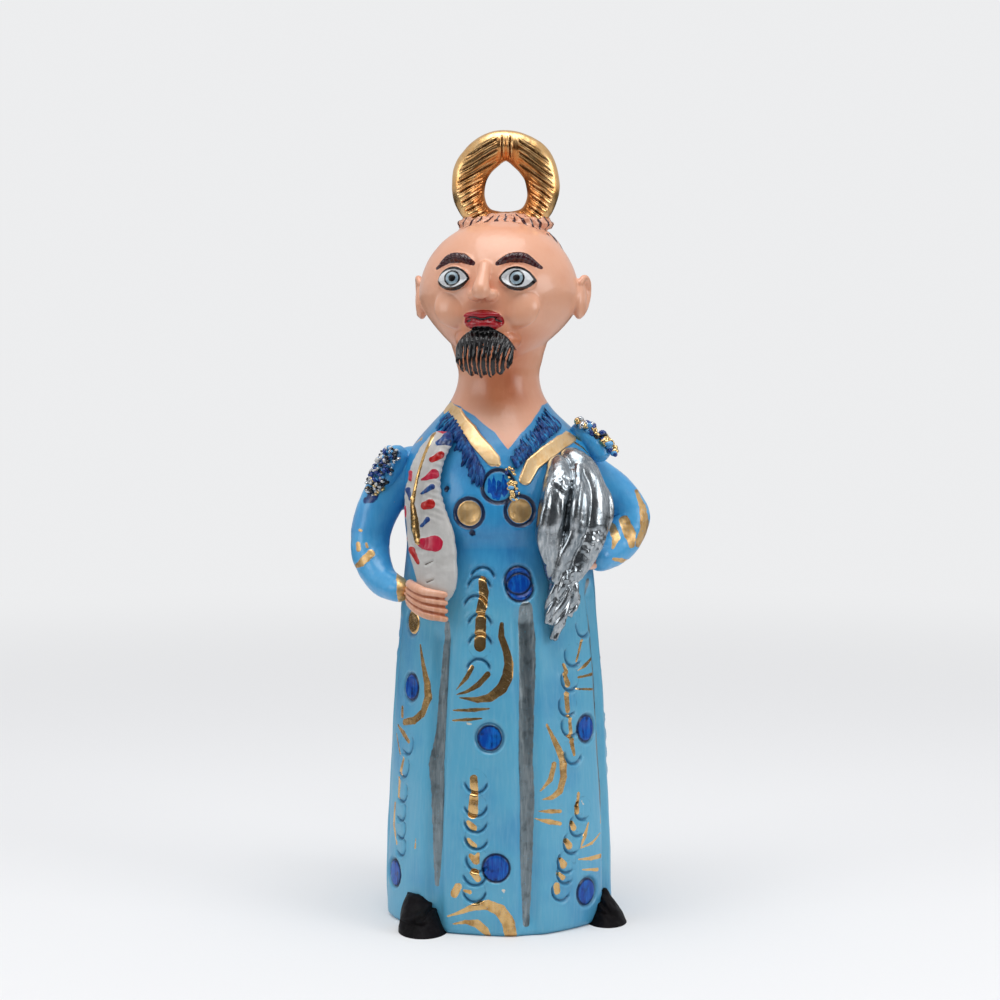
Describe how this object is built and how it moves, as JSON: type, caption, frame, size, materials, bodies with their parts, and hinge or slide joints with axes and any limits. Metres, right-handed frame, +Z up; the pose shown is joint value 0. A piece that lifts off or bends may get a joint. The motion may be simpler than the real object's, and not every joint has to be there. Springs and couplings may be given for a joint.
{
  "type": "saint statuette",
  "caption": "Standing robed saint statuette of painted clay with a ring halo, a palm leaf held to the chest and a gathered silver cloth under one arm.",
  "frame": {"origin": "middle of the flat underside, on the axis of the robe", "axes": "+Z up through the halo, the figure's front faces -Y, its left and right sleeves lie along X"},
  "size_m": [0.1145, 0.0893, 0.2999],
  "materials": {
    "robe_blue": "fired clay with opaque sky-blue paint under a semi-gloss varnish",
    "skin_paint": "fired clay with pinkish paint under a semi-gloss varnish",
    "gold_lustre": "bright gold lustre over clay",
    "silver_paint": "bright silver lustre over clay",
    "white_paint": "white paint with painted dabs, satin",
    "black_paint": "black paint, semi-gloss",
    "navy_paint": "dark blue paint, glossy"
  },
  "bodies": {
    "root": {"saint_statuette": "robe_blue"}
  },
  "joints": []
}
